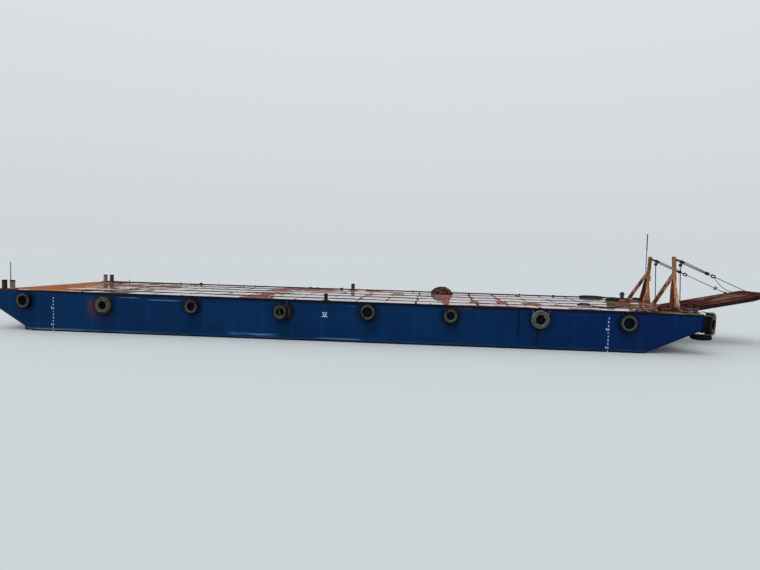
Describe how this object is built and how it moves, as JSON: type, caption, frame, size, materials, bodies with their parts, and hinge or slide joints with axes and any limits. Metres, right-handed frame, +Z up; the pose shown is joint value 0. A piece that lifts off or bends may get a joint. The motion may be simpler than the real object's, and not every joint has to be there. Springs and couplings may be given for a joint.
{
  "type": "river barge with bow ramp, 1:2 scale model",
  "caption": "Flat-decked river barge with raked ends, tyre fenders, mooring bitts and a hinged bow ramp held by wire tackles from two braced posts, as a 1:2 scale model.",
  "frame": {"origin": "centre of the flat bottom, amidships", "axes": "+X along the barge to the bow and its ramp, +Y to port, +Z up from the keel"},
  "size_m": [23.7837, 6.4506, 3.85],
  "materials": {
    "hull_paint": "weathered navy blue gloss paint",
    "deck_steel": "worn red-brown steel plates, wet and rusty",
    "maroon_paint": "worn maroon paint",
    "ochre_paint": "ochre paint with rust",
    "rusty_steel": "rusty painted steel",
    "pole_steel": "weathered galvanised pipe",
    "white_paint": "weathered white paint",
    "tackle_steel": "greased wire rope and blocks",
    "tyre_rubber": "weathered black rubber",
    "muddy_rubber": "rubber under dried mud",
    "rope_fibre": "weathered mooring rope"
  },
  "bodies": {
    "root": {"hull": "hull_paint", "skeg_starboard": "hull_paint", "skeg_port": "hull_paint", "deck_plating": "deck_steel", "edge_bar_starboard": "deck_steel", "edge_bar_port": "deck_steel", "bitts_stern_starboard": "maroon_paint", "bitts_stern_port": "maroon_paint", "bitts_bow_starboard": "maroon_paint", "bollard_bow_port": "maroon_paint", "bollard_mid_starboard": "maroon_paint", "bollard_mid_port": "maroon_paint", "tyre_starboard_1": "tyre_rubber", "tyre_starboard_2": "muddy_rubber", "tyre_starboard_3": "tyre_rubber", "tyre_starboard_4": "tyre_rubber", "tyre_starboard_5": "tyre_rubber", "tyre_starboard_6": "tyre_rubber", "tyre_starboard_7": "tyre_rubber", "tyre_starboard_8": "tyre_rubber", "tyre_port_1": "tyre_rubber", "tyre_port_2": "muddy_rubber", "tyre_port_3": "tyre_rubber", "tyre_port_4": "tyre_rubber", "tyre_port_5": "tyre_rubber", "tyre_port_6": "tyre_rubber", "tyre_port_7": "tyre_rubber", "tyre_port_8": "tyre_rubber", "tyre_stack_bow_starboard": "tyre_rubber", "tyre_stack_bow_port": "tyre_rubber", "tyre_low_bow_starboard": "tyre_rubber", "tyre_low_bow_port": "tyre_rubber", "bow_sill": "rusty_steel", "ramp_post_starboard": "ochre_paint", "ramp_post_port": "ochre_paint", "post_prop_starboard": "maroon_paint", "post_prop_port": "maroon_paint", "post_brace_starboard": "ochre_paint", "post_brace_port": "ochre_paint", "light_mast": "pole_steel", "stern_pole": "white_paint", "fall_lead_starboard": "tackle_steel", "fall_lead_port": "tackle_steel", "fall_wire_starboard": "tackle_steel", "fall_wire_port": "tackle_steel", "rope_heap": "rope_fibre", "rope_pile_bow": "rope_fibre", "rope_coil_bow": "rope_fibre"},
    "ramp": {"ramp_plate": "rusty_steel", "ramp_girder_starboard": "rusty_steel", "ramp_girder_port": "rusty_steel", "ramp_underframe": "rusty_steel"},
    "tackle_starboard": {"tackle_head_starboard": "tackle_steel", "tackle_wires_starboard": "tackle_steel"},
    "pendant_starboard": {"tackle_foot_starboard": "tackle_steel"},
    "tackle_port": {"tackle_head_port": "tackle_steel", "tackle_wires_port": "tackle_steel"},
    "pendant_port": {"tackle_foot_port": "tackle_steel"}
  },
  "joints": [
    {"name": "ramp_hinge", "type": "hinge", "parent": "root", "child": "ramp", "pos_m": [10.56, 0, 1.39], "axis": [0, -1, 0], "range_deg": [-32, 23]},
    {"name": "tackle_swing_starboard", "type": "hinge", "parent": "root", "child": "tackle_starboard", "pos_m": [10.465, -0.96, 2.9625], "axis": [0, -1, 0], "range_deg": [-22.5, 16.2], "deforming": ["fall_wire_starboard"]},
    {"name": "tackle_haul_starboard", "type": "slide", "parent": "tackle_starboard", "child": "pendant_starboard", "axis": [0.9141, 0, -0.4055], "range_m": [-0.55, 0.765], "deforming": ["tackle_wires_starboard"]},
    {"name": "tackle_swing_port", "type": "hinge", "parent": "root", "child": "tackle_port", "pos_m": [10.465, 0.96, 2.9625], "axis": [0, -1, 0], "range_deg": [-22.5, 16.2], "deforming": ["fall_wire_port"]},
    {"name": "tackle_haul_port", "type": "slide", "parent": "tackle_port", "child": "pendant_port", "axis": [0.9141, 0, -0.4055], "range_m": [-0.55, 0.765], "deforming": ["tackle_wires_port"]}
  ],
  "couplings": [
    {"joint": "tackle_swing_starboard", "follows": "ramp_hinge", "ratio": 0.6977},
    {"joint": "tackle_swing_port", "follows": "ramp_hinge", "ratio": 0.6977},
    {"joint": "tackle_haul_starboard", "follows": "ramp_hinge", "m_per_rad": -1.3527},
    {"joint": "tackle_haul_port", "follows": "ramp_hinge", "m_per_rad": -1.3527}
  ]
}
